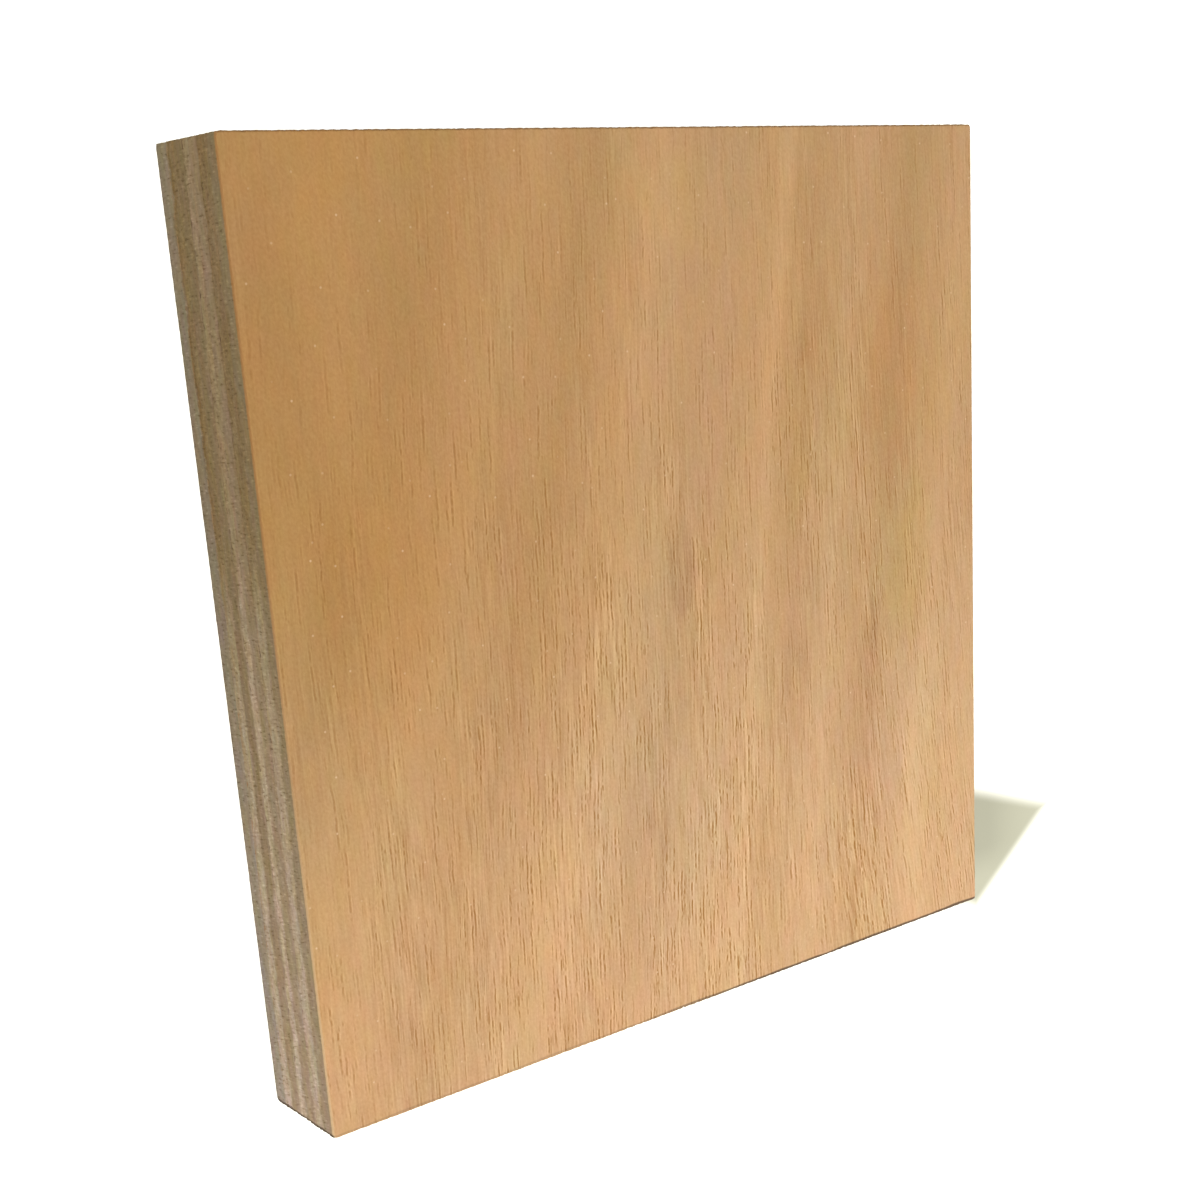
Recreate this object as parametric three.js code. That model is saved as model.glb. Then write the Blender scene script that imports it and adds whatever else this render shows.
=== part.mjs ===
// A square of seven-ply hardwood plywood, lying flat with its good face up.
//
// Seven peeled veneers are glued face to face, each turned a quarter turn to the
// one below, and sanded flat on both outer faces. Inside the sheet the glue lines
// ripple a little, as peeled veneer does under the press, so each veneer swells
// where its neighbour thins. The four edges are sawn square, and the arrises of
// both outer faces are eased with sandpaper.
//
// Millimetres, +Z up. The origin is the middle of the underside. The grain of the
// good face runs along Y.

import * as THREE from 'three';

// ---- Driving dimensions ----

const SHEET_WIDTH = 146; // along X, across the grain of the good face
const SHEET_LENGTH = 146; // along Y, with the grain of the good face

// The veneers' mean thicknesses, from the underside up
const BACK_THICKNESS = 3.4;
const LOWER_CROSSBAND_THICKNESS = 2.4;
const LOWER_CORE_THICKNESS = 2.65;
const CENTRE_THICKNESS = 1.95;
const UPPER_CORE_THICKNESS = 2.75;
const UPPER_CROSSBAND_THICKNESS = 2.8;
const FACE_THICKNESS = 3.05;

const ARRIS_RADIUS = 0.4; // the eased edge of both outer faces

// The ripple of the glue lines: one wave along the sheet and one across it.
const RIPPLE_ALONG = { height: 0.25, pitch: 112, crest: -20 };
const RIPPLE_ACROSS = { height: 0.15, pitch: 83, crest: 21 };
const RIPPLE_LAG = 3; // how far each glue line's crests lie past those of the line below

// ---- The lay-up, from the underside to the good face ----

const WOOD_ROUGHNESS = 0.72;

const LAY_UP = [
  { name: 'back_veneer', grain: 'along', colour: 0xb0855c, thickness: BACK_THICKNESS },
  { name: 'lower_crossband', grain: 'across', colour: 0xa58b69, thickness: LOWER_CROSSBAND_THICKNESS },
  { name: 'lower_core_veneer', grain: 'along', colour: 0x937c5f, thickness: LOWER_CORE_THICKNESS },
  { name: 'centre_veneer', grain: 'across', colour: 0xae9674, thickness: CENTRE_THICKNESS },
  { name: 'upper_core_veneer', grain: 'along', colour: 0x9b8465, thickness: UPPER_CORE_THICKNESS },
  { name: 'upper_crossband', grain: 'across', colour: 0xa38863, thickness: UPPER_CROSSBAND_THICKNESS },
  { name: 'face_veneer', grain: 'along', colour: 0xca9f72, thickness: FACE_THICKNESS },
];

// ---- Fineness of the surfaces ----

const PATCHES = 12; // equal patches of a glue line from arris to arris
const ARRIS_STEPS = 2; // flats that make up the curve of an arris
const MICROMETRE = 0.001;

// ---- The glue lines and the outer faces ----

const quarterTurn = Math.PI / 2;

// The height of one wave over a place along its own axis.
function wave({ height, pitch, crest }, place) {
  return height * Math.cos((2 * Math.PI * (place - crest)) / pitch);
}

// How far a glue line rises above its mean height. The lines are numbered upward
// from the underside, and both veneers that meet at a line take its shape from here.
function ripple(line, x, y) {
  const lag = line * RIPPLE_LAG;
  const rise = wave(RIPPLE_ALONG, y - lag) + wave(RIPPLE_ACROSS, x + lag);
  return Math.round(rise / MICROMETRE) * MICROMETRE;
}

// How far an eased outer face falls away at a distance from one sawn edge.
function arrisFall(distance) {
  const inset = Math.max(ARRIS_RADIUS - distance, 0);
  return ARRIS_RADIUS - Math.sqrt(ARRIS_RADIUS ** 2 - inset ** 2);
}

// The fall of an outer face at a point, which is that of the nearer edge.
function easing(x, y) {
  const toSide = SHEET_WIDTH / 2 - Math.abs(x);
  const toEnd = SHEET_LENGTH / 2 - Math.abs(y);
  return arrisFall(Math.max(Math.min(toSide, toEnd), 0));
}

// ---- The grid that every veneer is drawn on ----

// Distances from one sawn edge to the other: close together over both arrises,
// where they follow the curve, and evenly spaced between them.
function gridLines(span) {
  const arris = [];
  for (let step = 0; step < ARRIS_STEPS; step++) {
    const angle = (step / ARRIS_STEPS) * quarterTurn;
    arris.push(ARRIS_RADIUS * (1 - Math.cos(angle)));
  }
  const middle = [];
  for (let patch = 0; patch <= PATCHES; patch++) {
    middle.push(ARRIS_RADIUS + (patch / PATCHES) * (span - 2 * ARRIS_RADIUS));
  }
  const farArris = arris.map((distance) => span - distance).reverse();
  return [...arris, ...middle, ...farArris].map((distance) => distance - span / 2);
}

const GRID_X = gridLines(SHEET_WIDTH);
const GRID_Y = gridLines(SHEET_LENGTH);
const GRID_CELLS = PATCHES + 2 * ARRIS_STEPS;

// The grid line that belongs to a place on a block one unit wide, centred on zero.
function onGrid(grid, place) {
  return grid[Math.round((place + 1 / 2) * GRID_CELLS)];
}

// ---- One veneer ----

// A unit block is divided like the grid, given the quarter turn of its grain and
// then drawn onto its two surfaces. The turn also makes the triangles of one
// veneer's top lie exactly on those of the next one's underside.
function veneerGeometry(ply, bottomAt, topAt) {
  const block = new THREE.BoxGeometry(1, 1, 1, GRID_CELLS, GRID_CELLS, 1);
  if (ply.grain === 'across') block.rotateZ(quarterTurn);

  const corners = block.attributes.position;
  for (let i = 0; i < corners.count; i++) {
    const x = onGrid(GRID_X, corners.getX(i));
    const y = onGrid(GRID_Y, corners.getY(i));
    const surface = corners.getZ(i) > 0 ? topAt : bottomAt;
    corners.setXYZ(i, x, y, surface(x, y));
  }
  block.computeVertexNormals();
  return block;
}

// Heights are measured from the veneer's own mean lower surface. The outermost
// surfaces are the sanded faces, and every other one is a glue line.
function makeVeneer(ply, index, height) {
  const isBack = index === 0;
  const isFace = index === LAY_UP.length - 1;
  const bottomAt = isBack ? easing : (x, y) => ripple(index, x, y);
  const topAt = isFace
    ? (x, y) => ply.thickness - easing(x, y)
    : (x, y) => ply.thickness + ripple(index + 1, x, y);

  const material = new THREE.MeshStandardMaterial({
    color: ply.colour,
    roughness: WOOD_ROUGHNESS,
    metalness: 0,
  });
  const veneer = new THREE.Mesh(veneerGeometry(ply, bottomAt, topAt), material);
  veneer.name = ply.name;
  veneer.position.z = height;
  return veneer;
}

// ---- The sheet: every veneer laid on the one below ----

const sheet = new THREE.Group();
let height = 0;
LAY_UP.forEach((ply, index) => {
  sheet.add(makeVeneer(ply, index, height));
  height += ply.thickness;
});

export default sheet;
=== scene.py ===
"""Builds the visible plywood sheet around its packed veneers.

Every veneer becomes a finely divided solid of its own, with sawn, torn and sanded
surfaces and solid wood right through it: the same grain runs out over the face and
shows its ends on the sawn edges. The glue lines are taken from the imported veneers.
Lengths are in metres, and patterns inside the wood are worked out in millimetres.
"""

import math
from collections import namedtuple
from types import SimpleNamespace as Numbers

import bpy
import numpy as np
from bpy.props import FloatProperty, FloatVectorProperty, PointerProperty
from mathutils import Euler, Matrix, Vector
from mathutils.geometry import delaunay_2d_cdt


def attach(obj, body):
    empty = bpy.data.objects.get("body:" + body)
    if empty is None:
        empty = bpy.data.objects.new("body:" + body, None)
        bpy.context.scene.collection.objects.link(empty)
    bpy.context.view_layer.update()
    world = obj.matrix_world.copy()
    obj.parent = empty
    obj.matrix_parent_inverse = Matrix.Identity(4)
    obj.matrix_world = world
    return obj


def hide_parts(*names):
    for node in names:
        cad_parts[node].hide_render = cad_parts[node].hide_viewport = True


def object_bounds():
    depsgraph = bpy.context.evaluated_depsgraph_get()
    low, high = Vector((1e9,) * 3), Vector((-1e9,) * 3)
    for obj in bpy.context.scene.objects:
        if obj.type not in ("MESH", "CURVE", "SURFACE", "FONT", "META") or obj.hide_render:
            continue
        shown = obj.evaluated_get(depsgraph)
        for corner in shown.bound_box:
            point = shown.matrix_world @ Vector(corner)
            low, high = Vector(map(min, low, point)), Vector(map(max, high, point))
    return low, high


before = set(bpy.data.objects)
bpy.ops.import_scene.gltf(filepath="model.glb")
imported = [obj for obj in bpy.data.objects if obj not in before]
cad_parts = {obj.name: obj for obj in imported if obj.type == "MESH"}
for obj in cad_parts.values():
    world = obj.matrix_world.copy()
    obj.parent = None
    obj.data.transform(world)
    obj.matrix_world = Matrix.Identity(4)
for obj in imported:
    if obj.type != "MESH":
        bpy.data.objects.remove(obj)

bl_info = {
    "name": "Plywood sheet",
    "version": (1, 0, 0),
    "blender": (4, 5, 0),
    "location": "3D View > Sidebar > Plywood",
    "description": "Finishes the veneers of a plywood sheet and sets up a plain stage",
    "category": "Object",
}

BODY = "root"
MM = 0.001
PER_MM = 1000.0


def srgb(red, green, blue):
    """A colour given in display steps of 0 to 255, as the linear values that shaders use."""
    def linear(step):
        share = step / 255
        return share / 12.92 if share <= 0.04045 else ((share + 0.055) / 1.055) ** 2.4
    return tuple(linear(step) for step in (red, green, blue))


def colour_property(name, description, steps):
    return FloatVectorProperty(
        name=name, description=description, default=srgb(*steps), size=3,
        subtype="COLOR", min=0.0, max=1.0)


def number_property(name, description, default, **kind):
    return FloatProperty(name=name, description=description, default=default, min=0.0, **kind)


def length_property(name, description, default):
    return number_property(name, description, default, unit="LENGTH")


# ---- The veneers, from the underside up ----

# grain is the axis that the fibres follow, and tone the wood's colour on a sawn edge.
# stained and aged are how much of the far end's stain and darkening the veneer
# has taken, the darkening being partly age and partly painted shade; resin is how far in mm
# the glue has soaked up into it, and seed moves its pattern.
Ply = namedtuple("Ply", "node slot grain tone stained aged resin seed")

BACK = Ply("back_veneer", "back_veneer", "Y", (156, 140, 123), 0.0, 0.85, 0.0, 11)
LOWER_CROSSBAND = Ply(
    "lower_crossband", "cross_grain_veneer", "X", (180, 160, 137), 1.0, 1.0, 1.3, 23)
LOWER_CORE = Ply("lower_core_veneer", "long_grain_veneer", "Y", (152, 129, 103), 0.0, 1.0, 0.0, 37)
CENTRE = Ply("centre_veneer", "cross_grain_veneer", "X", (182, 160, 139), 0.6, 0.9, 0.0, 41)
UPPER_CORE = Ply("upper_core_veneer", "long_grain_veneer", "Y", (156, 133, 109), 0.0, 0.78, 0.0, 59)
UPPER_CROSSBAND = Ply(
    "upper_crossband", "cross_grain_veneer", "X", (175, 154, 133), 1.0, 1.0, 0.6, 67)
FACE = Ply("face_veneer", "face_veneer", "Y", (151, 130, 104), 0.0, 0.95, 0.0, 5)
ALL_PLIES = (BACK, LOWER_CROSSBAND, LOWER_CORE, CENTRE, UPPER_CORE, UPPER_CROSSBAND, FACE)

SHEET_LOW, SHEET_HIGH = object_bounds()
HALF_WIDTH = (SHEET_HIGH[0] - SHEET_LOW[0]) / 2
HALF_LENGTH = (SHEET_HIGH[1] - SHEET_LOW[1]) / 2
THICKNESS = SHEET_HIGH[2]


# ---- What a user would change ----

class SawnFinish(bpy.types.PropertyGroup):
    """Sizes of the marks that sawing and sanding leave."""
    point_pitch: length_property(
        "Point pitch", "Distance between the mesh points along a sawn edge", 0.26 * MM)
    arris_radius: length_property(
        "Arris radius", "Radius of the eased edge round both outer faces", 0.4 * MM)
    corner_wear: length_property(
        "Corner wear", "How far the upright corners are worn back", 0.1 * MM)
    saw_depth: length_property("Saw mark depth", "Depth of the saw's marks", 0.03 * MM)
    saw_pitch: length_property("Saw mark pitch", "Distance between two saw marks", 1.7 * MM)
    tear_depth: length_property(
        "Torn grain depth", "How deep the saw tears between fibres", 0.09 * MM)
    pit_depth: length_property(
        "Pit depth", "Depth of the pits where end grain has crumbled", 0.14 * MM)
    chip_depth: length_property(
        "Chip depth", "How far splinters have broken off along the arris", 0.12 * MM)


class WoodColours(bpy.types.PropertyGroup):
    """Colours of the wood."""
    face_light: colour_property(
        "Face, light", "Palest fibres of the good face", (241, 207, 167))
    face_dark: colour_property(
        "Face, dark", "Deepest fibres of the good face", (156, 108, 54))
    back_light: colour_property("Back, light", "Palest fibres of the underside", (224, 182, 138))
    back_dark: colour_property("Back, dark", "Deepest fibres of the underside", (140, 100, 64))
    pore: colour_property("Pores", "Inside of the open pores", (156, 109, 43))
    # Painted shade in the deepest saw marks and pits
    hollow_shade: colour_property("Hollows", "Deepest marks of the sawn edges", (104, 80, 54))
    # Painted shadow: the dark line along the near end, where shade lies under it
    end_shadow_paint: colour_property("Scorch", "Brown line that the saw left at the near end", (56, 38, 26))


class PlainStage(bpy.types.PropertyGroup):
    """The floor, the lamps and the camera."""
    floor_size: length_property("Floor size", "Side of the square floor", 6.0)
    floor_colour: colour_property("Floor", "Colour of the floor", (221, 219, 193))
    sky_strength: number_property("Sky strength", "Even light from all round", 0.38)
    key_power: number_property(
        "Key power", "Power of the soft lamp on the left", 4.55, unit="POWER")
    near_power: number_property(
        "Near power", "Power of the soft lamp at the near end", 2.38, unit="POWER")
    lens: number_property("Lens", "Focal length of the camera", 53.91, unit="CAMERA")


# ---- Expressions that add nodes ----

def overload(operation, reflected=False):
    """A method that adds a Math node for one of Python's operators."""
    def method(value, other):
        operands = (other, value) if reflected else (value, other)
        return value.graph.math(operation, *operands)
    return method


class Value:
    """A socket that takes part in Python sums, each of which adds a Math node."""

    def __init__(self, graph, socket):
        self.graph = graph
        self.socket = socket

    __add__ = __radd__ = overload("ADD")
    __mul__ = __rmul__ = overload("MULTIPLY")
    __sub__ = overload("SUBTRACT")
    __rsub__ = overload("SUBTRACT", reflected=True)
    __truediv__ = overload("DIVIDE")
    __rtruediv__ = overload("DIVIDE", reflected=True)
    __pow__ = overload("POWER")
    __rpow__ = overload("POWER", reflected=True)

    def __neg__(self):
        return self * -1.0

    def __abs__(self):
        return self.graph.math("ABSOLUTE", self)


class Graph:
    """Adds nodes to one shader or geometry tree."""

    def __init__(self, tree):
        self.tree = tree
        tree.nodes.clear()

    @staticmethod
    def socket(sockets, key):
        """The socket with that index, identifier or name."""
        found = [socket for socket in sockets if socket.identifier == key]
        return found[0] if found else sockets[key]

    def node(self, kind, settings=None, inputs=None, output=0):
        """Adds a node, sets it up, feeds its sockets and returns one of its outputs."""
        node = self.tree.nodes.new(kind)
        for name, setting in (settings or {}).items():
            setattr(node, name, setting)
        for key, value in (inputs or {}).items():
            target = self.socket(node.inputs, key)
            if isinstance(value, Value):
                self.tree.links.new(value.socket, target)
            else:
                target.default_value = value
        if not node.outputs:
            return None
        return Value(self, self.socket(node.outputs, output))

    def others(self, value, *names):
        """Further outputs of the node that a value comes from."""
        return tuple(Value(self, value.socket.node.outputs[name]) for name in names)

    def math(self, operation, *operands, clamp=False):
        settings = {"operation": operation, "use_clamp": clamp}
        return self.node("ShaderNodeMath", settings, dict(enumerate(operands)))

    def clamped(self, value):
        return self.math("ADD", value, 0.0, clamp=True)

    def smooth(self, value, start, end):
        """0 up to start, 1 from end on, and a smooth rise between them."""
        return self.node(
            "ShaderNodeMapRange", {"interpolation_type": "SMOOTHSTEP"},
            {"Value": value, "From Min": start, "From Max": end, "To Min": 0.0, "To Max": 1.0})

    def fade(self, value, start, end):
        """1 up to start, 0 from end on, and a smooth fall between them."""
        return 1.0 - self.smooth(value, start, end)

    def lerp(self, share, start, end):
        return start + (end - start) * share

    def bell(self, value, centre, width):
        """A soft bump one high, centred on a value and fading over a width."""
        return self.math("EXPONENT", -(((value - centre) / width) ** 2.0))

    def vector(self, x, y, z):
        return self.node("ShaderNodeCombineXYZ", inputs={"X": x, "Y": y, "Z": z})

    def split(self, vector):
        return self.others(self.node("ShaderNodeSeparateXYZ", inputs={"Vector": vector}), *"XYZ")

    def noise(self, x, y, z, detail=2.0, roughness=0.5, output="Fac"):
        """Soft noise between 0 and 1, one lump to each unit of the three places."""
        return self.node(
            "ShaderNodeTexNoise", {"noise_dimensions": "3D"},
            {"Vector": self.vector(x, y, z), "Scale": 1.0, "Detail": detail,
             "Roughness": roughness}, output)

    def tint(self, x, y, z, strength):
        """A colour near white that wanders, differently in each of its channels."""
        hues = self.noise(x, y, z, detail=1.0, output="Color")
        swing = tuple(2.0 * part for part in strength)
        lowest = tuple(1.0 - part for part in strength)
        return self.node(
            "ShaderNodeVectorMath", {"operation": "MULTIPLY_ADD"}, {0: hues, 1: swing, 2: lowest})

    def cells(self, x, y, z=None):
        """Distance to the nearest of points scattered one to each unit, and that one's chance."""
        settings = {"voronoi_dimensions": "2D" if z is None else "3D", "feature": "F1"}
        place = self.vector(x, y, 0.0 if z is None else z)
        distance = self.node(
            "ShaderNodeTexVoronoi", settings, {"Vector": place, "Scale": 1.0, "Randomness": 1.0},
            "Distance")
        return distance, *self.others(distance, "Color")

    def chances(self, *numbers):
        """Three random numbers from 0 to 1 that belong to one to three whole numbers."""
        place = self.vector(*numbers, *([0.0] * (3 - len(numbers))))
        return self.split(self.node(
            "ShaderNodeTexWhiteNoise", {"noise_dimensions": "3D"}, {"Vector": place}, "Color"))

    def ramp(self, share, stops):
        """A value read off a smooth curve through stops between 0 and 1."""
        ramp = self.node("ShaderNodeValToRGB", inputs={"Fac": share}, output="Color")
        band = ramp.socket.node.color_ramp
        band.interpolation = "EASE"
        for where, _ in stops[1:-1]:
            band.elements.new(where)
        for element, (_, value) in zip(band.elements, stops):
            element.color = (value, value, value, 1.0)
        return ramp

    def blend(self, share, first, second, mode="MIX"):
        """Two colours mixed by a share."""
        first, second = (
            colour if isinstance(colour, Value) else (*colour, 1.0) for colour in (first, second))
        return self.node(
            "ShaderNodeMix", {"data_type": "RGBA", "blend_type": mode},
            {"Factor_Float": share, "A_Color": first, "B_Color": second}, "Result_Color")

    def attribute(self, name):
        return self.node("ShaderNodeAttribute", {"attribute_name": name}, output="Fac")

    def seen(self):
        """1 where the camera looks, also by way of glossy or clear things, and 0 elsewhere."""
        camera = self.node("ShaderNodeLightPath", output="Is Camera Ray")
        glossy, clear = self.others(camera, "Is Glossy Ray", "Is Transmission Ray")
        return self.math("MAXIMUM", self.math("MAXIMUM", camera, glossy), clear)


# ---- The wood ----

# Lumps are a pattern's sizes across the grain, along it and up through the sheet, and a
# number that moves the pattern elsewhere. Every pair of numbers says where something starts
# and ends, or what it is at its least and at its most. Sizes, places and reaches are in mm.
Lumps = namedtuple("Lumps", "across along up seed", defaults=(1.0, 1.0))

Spot = namedtuple("Spot", "x y z side end top aged")
Fibres = namedtuple("Fibres", "line along comb fine streak")

# Where the sheet darkens, from its near end to its far one: partly age, partly painted shade
# for light that falls off towards the far end
AGEING_AND_SHADE = (-78.0, 30.0)


def spot_fields(graph):
    """The place in the sheet, how far it is a side, an end or a top, and its age and painted shade.
    """
    place = graph.node("ShaderNodeTexCoord", output="Object")
    x, y, z = (axis * PER_MM for axis in graph.split(place))
    facing = graph.split(graph.node("ShaderNodeNewGeometry", output="Normal"))
    return Spot(x, y, z, *(abs(part) for part in facing), graph.smooth(y, *AGEING_AND_SHADE))


def flat_noise(graph, lumps, x, y):
    """A pattern over the face, from half a step below nothing to half a step above."""
    return graph.noise(x / lumps.across, y / lumps.along, lumps.seed) - 0.5


# Growth bands of the good face from left to right: where each one lies on the leaning
# axis, and how light it is against its neighbours, at most BAND.limit either way
GROWTH_BANDS = (
    (-84, 0.2), (-74, 0.1), (-64, -0.5), (-55, 0), (-46, 0.6), (-38, -0.25),
    (-31, -1), (-23, -0.1), (-12, 1), (-5, 0.5), (0, -0.3), (8, 0.1),
    (14.5, 0.1), (18.8, 0.9), (22, -0.4), (26, -0.8), (31, 0), (36, 0.7),
    (42, -0.3), (48, -1.2), (54, -0.4), (62, 1), (70, 0.3), (82, 0.5),
)
BAND = Numbers(
    limit=2.0, strength=0.06, leans=(0.36, 0.14), lean_change=(-30.0, 12.0),
    wander=Lumps(11.0, 38.0, seed=3.7), reach=3.0, pale_line=(18.8, 1.5), paleness=0.6)


def growth_bands(graph, x, y):
    """Lightness of the slanting growth bands, which lean more on the left of the sheet."""
    lean = graph.lerp(graph.smooth(x, *BAND.lean_change), *BAND.leans)
    place = x - lean * y + flat_noise(graph, BAND.wander, x, y) * BAND.reach
    first, last = GROWTH_BANDS[0][0], GROWTH_BANDS[-1][0]
    span = 2.0 * BAND.limit
    stops = [
        ((where - first) / (last - first), 0.5 + lightness / span)
        for where, lightness in GROWTH_BANDS
    ]
    bands = (graph.ramp((place - first) / (last - first), stops) - 0.5) * span
    return bands + BAND.paleness * graph.bell(place, *BAND.pale_line)


# Broad stains of the good face. lean is how far a stain moves to the right for each mm
# upwards, and left is what it leaves of red, green and blue.
Stain = namedtuple("Stain", "x y half_width half_length lean left")
STAINS = (
    Stain(2, 4, 3.6, 8.5, 0.12, (0.88, 0.86, 0.85)),
    Stain(46, -14.6, 1.5, 6.5, 0.12, (0.9, 0.88, 0.88)),
    Stain(5, 34, 16, 28, 0, (0.99, 0.99, 1.05)),
    Stain(3, 61, 9, 10, 0, (1.01, 1.04, 1)),
    Stain(52, 31, 8, 24, 0.1, (0.98, 0.91, 0.86)),
    Stain(34.5, 38, 4.5, 12, 0.1, (0.98, 0.93, 0.88)),
    Stain(55, -2, 7, 17, 0.1, (0.97, 0.995, 0.87)),
    Stain(29, 17, 3.6, 15, 0.1, (0.96, 0.97, 0.87)),
    Stain(-7, -34, 8, 40, 0.25, (0.95, 0.965, 0.955)),
    Stain(27.4, -13, 5.5, 22, 0.12, (0.965, 0.93, 0.93)),
    Stain(41.6, -27, 6.5, 24, 0.12, (0.95, 0.92, 0.93)),
    Stain(-55, 8, 15, 20, 0.1, (0.97, 0.95, 0.88)),
    Stain(-27, -47, 8, 16, 0.1, (1.03, 1.03, 0.99)),
    Stain(57, -42, 5.5, 28, 0.12, (1.04, 1.06, 1.03)),
    Stain(-71, 26, 12, 54, 0, (0.93, 0.94, 0.91)),
)
OUTLINE = Numbers(
    fade=(0.15, 1.1), sideways=Lumps(5.0, 14.0, seed=2.9), sideways_reach=5.0,
    lengthwise=Lumps(4.0, 12.0, seed=8.2), lengthwise_reach=18.0)


def stained(graph, x, y, colour):
    """A colour with the broad stains over it, their outlines made uneven."""
    x = x + flat_noise(graph, OUTLINE.sideways, x, y) * OUTLINE.sideways_reach
    y = y + flat_noise(graph, OUTLINE.lengthwise, x, y) * OUTLINE.lengthwise_reach
    for stain in STAINS:
        middle = stain.x - stain.lean * stain.y
        sideways = (x - stain.lean * y - middle) / stain.half_width
        lengthwise = (y - stain.y) / stain.half_length
        distance = sideways * sideways + lengthwise * lengthwise
        share = graph.fade(distance, *OUTLINE.fade)
        colour = graph.blend(share, colour, stain.left, "MULTIPLY")
    return colour


# How far the good face's fibres move sideways for each mm along the sheet, round a place on
# the left and over a rise to the right, where they bend back in the end
FAN = Numbers(
    left=0.045, left_place=(-20.0, 35.0), right=0.085, right_rise=(15.0, 60.0), bend=220.0)


def fibre_line(graph, x, y):
    """Where a fibre of the good face lies across the sheet: they fan out a little."""
    left = FAN.left * graph.bell(x, *FAN.left_place) * y
    right = FAN.right * graph.smooth(x, *FAN.right_rise) * (y - y * y / FAN.bend)
    return x - left + right


# Fibres drift and wobble sideways. The pattern changes with height, tilted a little, and two
# veneers whose seeds are one apart lie seed_step apart in it.
FIBRE = Numbers(
    drift=Lumps(23.0, 60.0, 9.0), drift_reach=3.0,
    wobble=Lumps(2.0, 5.0, 1.5), wobble_reach=0.3,
    comb=Lumps(0.45, 11.0, 0.6), fine=Lumps(0.3, 3.0, 0.38), streak=Lumps(4.0, 45.0, 1.6),
    tilt_across=0.4, tilt_along=0.05, seed_step=7.3)


def fibre_fields(graph, ply, spot):
    """The fibres that run along a veneer's grain."""
    along, across = (spot.y, spot.x) if ply.grain == "Y" else (spot.x, spot.y)
    if ply is FACE:
        across = fibre_line(graph, spot.x, spot.y)
    up = spot.z + ply.seed * FIBRE.seed_step

    def lumps(size, line, tilt=0.0, detail=1.0):
        rise = up / size.up + tilt
        return graph.noise(line / size.across, rise, along / size.along, detail) - 0.5

    drift = lumps(FIBRE.drift, across, detail=2.0) * FIBRE.drift_reach
    line = across + drift + lumps(FIBRE.wobble, across, detail=0.0) * FIBRE.wobble_reach
    tilt = line * FIBRE.tilt_across + along * FIBRE.tilt_along
    comb = lumps(FIBRE.comb, line, tilt)
    fine = lumps(FIBRE.fine, line, -tilt)
    return Fibres(line, along, comb, fine, lumps(FIBRE.streak, line))


# Open pores lie as dashes in lanes along the grain. A dash has a cell of its own in a lane,
# start moves the lanes, opened is how many more cells hold a dash where the grain stands
# open, and weight and lip are how strongly it and the painted highlight on its
# raised lip show.
PoreKind = namedtuple("PoreKind", "lane cell start opened weight lip seed")
LONG_PORES = PoreKind(0.8, 15.0, 0.0, 0.68, 1.0, 1.0, 1.0)
SHORT_PORES = PoreKind(0.64, 6.0, 0.3, 0.45, 0.75, 0.7, 2.0)

# Shares of a dash's cell and lane, and the steps from lane to lane and the lengths along
# each over which a dash frays and sways
DASH = Numbers(
    in_closed_grain=0.4, chances=(1.0, 1.7), lengths=(0.3, 0.95), taper=(0.0, 0.2), aside=0.3,
    core=0.03, widths=(0.2, 0.44), lip=(0.4, 0.12), lane_shift=37.0, next_chance=0.5,
    fray_step=3.7, fray_length=1.3, fray_fade=(0.28, 0.6),
    sway_step=5.3, sway_length=2.6, sway_seed=9.0, sway_reach=0.55)


def dashes(graph, wood, kind, openness, seed):
    """Thin dashes in lanes along the grain: how deep each place lies in one, and its lip's painted
    highlight.
    """
    across = (wood.line + kind.start) / kind.lane
    lane = graph.math("FLOOR", across)
    run = wood.along / kind.cell + graph.chances(lane, seed)[0] * DASH.lane_shift
    cell = graph.math("FLOOR", run)
    aside, size, start = graph.chances(lane, cell, seed)
    chance = graph.chances(lane, cell, seed + DASH.next_chance)[0]
    length = graph.lerp(size, *DASH.lengths)
    ahead = run - cell - (1.0 - length) * start
    inside = graph.smooth(graph.math("MINIMUM", ahead, length - ahead), *DASH.taper)

    def uneven(step, size, seed):
        return graph.noise(lane * step, run * kind.cell / size, seed, detail=1.0)

    frayed = uneven(DASH.fray_step, DASH.fray_length, seed)
    sway = uneven(DASH.sway_step, DASH.sway_length, seed + DASH.sway_seed) - 0.5
    chance = chance + (openness * kind.opened + DASH.in_closed_grain)
    depth = inside * graph.smooth(chance, *DASH.chances) * graph.smooth(frayed, *DASH.fray_fade)
    distance = abs(across - lane - 0.5 - (aside - 0.5) * DASH.aside - sway * DASH.sway_reach)
    dash = graph.fade(distance, DASH.core, graph.lerp(frayed, *DASH.widths)) * depth
    lip = graph.bell(distance, *DASH.lip) * depth
    return dash * kind.weight, lip * kind.lip


# Where the good face turns deeper on its left and warmer at its near end, what is left of
# its channels there and where it has aged, and its pale specks. The darker far end and the
# deeper left side are partly painted shade.
WEATHER = Numbers(
    left=(-15.0, 65.0), left_shares=(0.35, 1.0), near=(-66.0, -20.0),
    aged=(0.893, 0.818, 0.662), deeper=(0.87, 0.785, 0.60), warmer=(1.01, 0.945, 0.85),
    speck_gap=8.0, speck_fade=(0.01, 0.03), speck_strength=0.6)


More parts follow.
